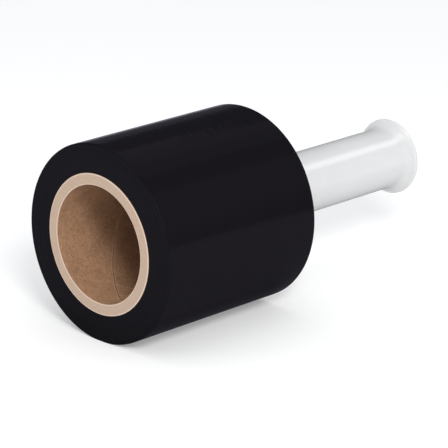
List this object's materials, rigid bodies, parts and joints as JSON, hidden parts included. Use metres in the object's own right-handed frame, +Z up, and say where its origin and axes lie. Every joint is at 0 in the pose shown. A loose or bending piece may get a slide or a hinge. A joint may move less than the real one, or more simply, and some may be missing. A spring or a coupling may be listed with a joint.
{
  "type": "stretch wrap roll",
  "caption": "Hand roll of black stretch film on a spiral-wound card core, with a flared tubular plastic handle that turns in the core, for wrapping parcels.",
  "frame": {"origin": "centre of the small flat that the film rests on, below the middle of the film's width", "axes": "+Y along the roll's axis, from the core's open mouth towards the handle; +Z up; +X to the right when looking along +Y"},
  "size_m": [0.1284, 0.2715, 0.1277],
  "materials": {
    "film": "gloss",
    "card": "matte",
    "handle_plastic": "satin"
  },
  "bodies": {
    "roll": {"film_roll": "film", "core": "card"},
    "handle": {"handle": "handle_plastic"}
  },
  "joints": [
    {"name": "handle_spin", "type": "hinge", "parent": "roll", "child": "handle", "pos_m": [0, 0.0365, 0.0635], "axis": [0, 1, 0], "continuous": true}
  ]
}
